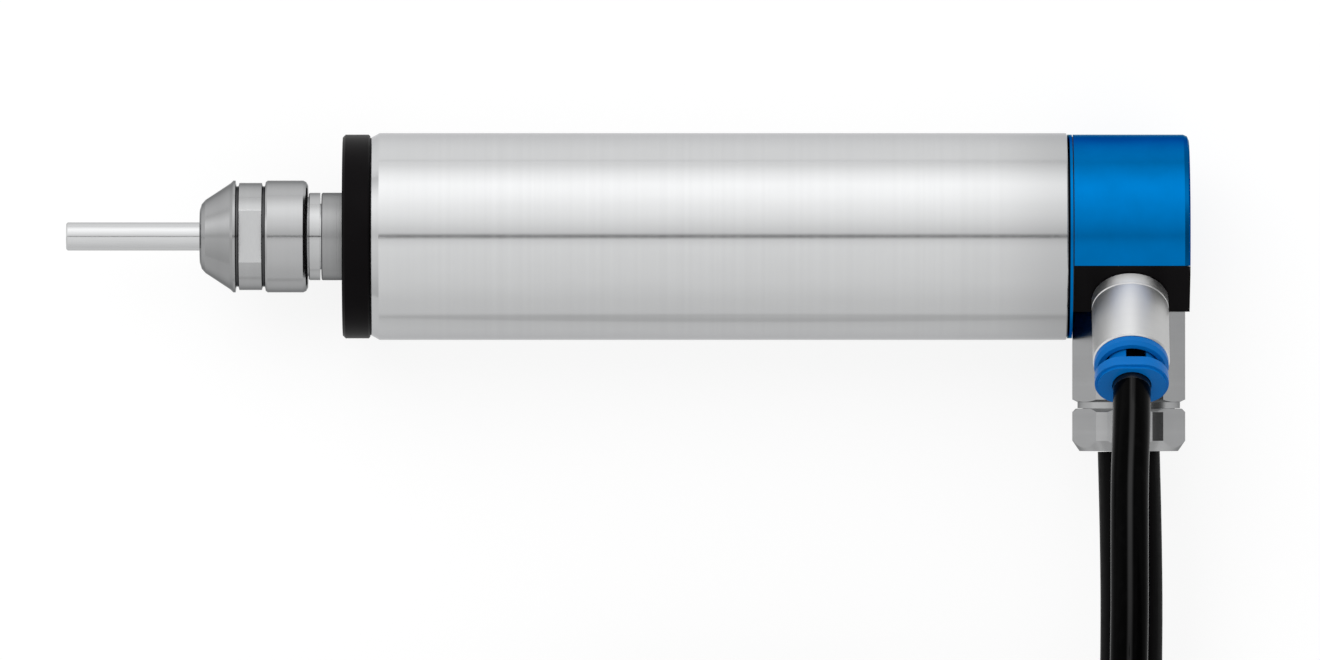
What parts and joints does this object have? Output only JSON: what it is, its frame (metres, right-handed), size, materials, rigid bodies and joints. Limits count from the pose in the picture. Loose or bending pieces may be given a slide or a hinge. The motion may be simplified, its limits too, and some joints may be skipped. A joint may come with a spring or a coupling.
{
  "type": "high-speed spindle",
  "caption": "Slim round spindle with a built-in motor, a collet nose holding a thin bar, an angled push-in air fitting, and a side outlet with motor cord and plug.",
  "frame": {"origin": "on the spindle's axis, at the front end of the housing's full diameter, where its front bevel ends", "axes": "-X along the spindle's axis towards the nose and the bar, -Y along the cord outlet, +Z away from the surface that the spindle lies on"},
  "size_m": [0.1193, 0.1486, 0.0424],
  "materials": {
    "housing_steel": "ground, slightly frosted by fine turning marks",
    "cap_steel": "satin, turned",
    "shaft_steel": "ground and polished",
    "nut_steel": "polished, finely turned",
    "collet_steel": "ground",
    "bar_steel": "ground and polished",
    "bearing_steel": "polished",
    "lock_steel": "black oxide",
    "ball_steel": "polished",
    "cage_resin": "woven resin, matte",
    "magnet": "matte",
    "sleeve_steel": "ground",
    "balance_brass": "turned",
    "core_steel": "stacked sheets, matte",
    "winding_copper": "varnished wire",
    "board": "lacquered",
    "chip": "matte",
    "holder_aluminium": "turned",
    "spring_steel": "smooth",
    "black_anodised": "black anodised, satin",
    "blue_anodised": "blue anodised, satin",
    "seal_rubber": "matte",
    "screw_steel": "black oxide",
    "lead_insulation": "smooth",
    "fitting_metal": "nickel plated, satin",
    "blue_plastic": "moulded, slightly glossy",
    "claw_steel": "smooth",
    "hose_plastic": "smooth, slightly glossy",
    "outlet_steel": "satin",
    "cord_jacket": "satin",
    "strap": "woven strap",
    "plug_metal": "nickel plated, satin",
    "plug_plastic": "matte"
  },
  "bodies": {
    "housing": {"housing_tube": "housing_steel", "nose_ring": "black_anodised", "front_cap": "cap_steel", "front_bearing_outer_rings": "bearing_steel", "outer_spacer": "bearing_steel", "bearing_clamp_ring": "lock_steel", "stator_core": "core_steel", "stator_windings": "winding_copper", "sensor_board": "board", "hall_sensors": "chip", "rear_bearing_holder": "holder_aluminium", "rear_bearing_outer_ring": "bearing_steel", "preload_spring": "spring_steel", "rear_flange": "blue_anodised", "rear_gasket": "seal_rubber", "rear_cover": "blue_anodised", "port_block": "black_anodised", "cover_screws": "screw_steel", "motor_leads": "lead_insulation", "air_fitting": "fitting_metal", "port_gasket": "seal_rubber", "hose_seal": "seal_rubber", "hose_claw": "claw_steel", "guide_collar": "blue_plastic", "hose_end": "hose_plastic", "cord_outlet": "outlet_steel", "cord_bush": "seal_rubber", "gland_washer": "outlet_steel", "gland_nut": "outlet_steel", "cord_end": "cord_jacket", "motor_cord": "cord_jacket", "cord_coil": "cord_jacket", "cord_ties": "strap", "cord_tail": "cord_jacket", "plug_shell": "plug_metal", "plug_insert": "plug_plastic", "plug_relief": "plug_plastic", "air_hose": "hose_plastic", "hose_coil": "hose_plastic", "hose_ties": "strap"},
    "spindle": {"spindle_shaft": "shaft_steel", "front_bearing_inner_rings": "bearing_steel", "inner_spacer": "bearing_steel", "front_lock_nut": "lock_steel", "rotor_magnet": "magnet", "rotor_sleeve": "sleeve_steel", "balance_rings": "balance_brass", "rear_bearing_inner_ring": "bearing_steel", "rear_lock_nut": "lock_steel"},
    "collet": {"collet": "collet_steel"},
    "collet_nut": {"collet_nut": "nut_steel"},
    "test_bar": {"test_bar": "bar_steel"},
    "front_cages": {"front_bearing_balls": "ball_steel", "front_bearing_cages": "cage_resin"},
    "rear_cage": {"rear_bearing_balls": "ball_steel", "rear_bearing_cage": "cage_resin"},
    "release_ring": {"release_ring": "blue_plastic"},
    "plug_ring": {"plug_ring": "plug_metal"}
  },
  "joints": [
    {"name": "spindle_turn", "type": "hinge", "parent": "housing", "child": "spindle", "pos_m": [0, 0, 0], "axis": [-1, 0, 0], "continuous": true},
    {"name": "collet_slide", "type": "slide", "parent": "spindle", "child": "collet", "axis": [-1, 0, 0], "range_m": [0, 0.0015]},
    {"name": "nut_turn", "type": "hinge", "parent": "collet", "child": "collet_nut", "pos_m": [-0.0135, 0, 0], "axis": [-1, 0, 0], "range_deg": [0, 720]},
    {"name": "bar_slide", "type": "slide", "parent": "collet", "child": "test_bar", "axis": [-1, 0, 0], "range_m": [0, 0.014]},
    {"name": "front_cage_turn", "type": "hinge", "parent": "housing", "child": "front_cages", "pos_m": [0.006, 0, 0], "axis": [-1, 0, 0], "continuous": true},
    {"name": "rear_cage_turn", "type": "hinge", "parent": "housing", "child": "rear_cage", "pos_m": [0.062, 0, 0], "axis": [-1, 0, 0], "continuous": true},
    {"name": "release_press", "type": "slide", "parent": "housing", "child": "release_ring", "axis": [0, 0.7071, -0.7071], "range_m": [0, 0.0008], "stiffness_N_per_m": 400},
    {"name": "coupling_ring_turn", "type": "hinge", "parent": "housing", "child": "plug_ring", "pos_m": [-0.015, -0.062, -0.0035], "axis": [0, 1, 0], "continuous": true}
  ],
  "couplings": [
    {"joint": "collet_slide", "follows": "nut_turn", "m_per_rad": 0.00011937},
    {"joint": "front_cage_turn", "follows": "spindle_turn", "ratio": 0.4},
    {"joint": "rear_cage_turn", "follows": "spindle_turn", "ratio": 0.4}
  ]
}
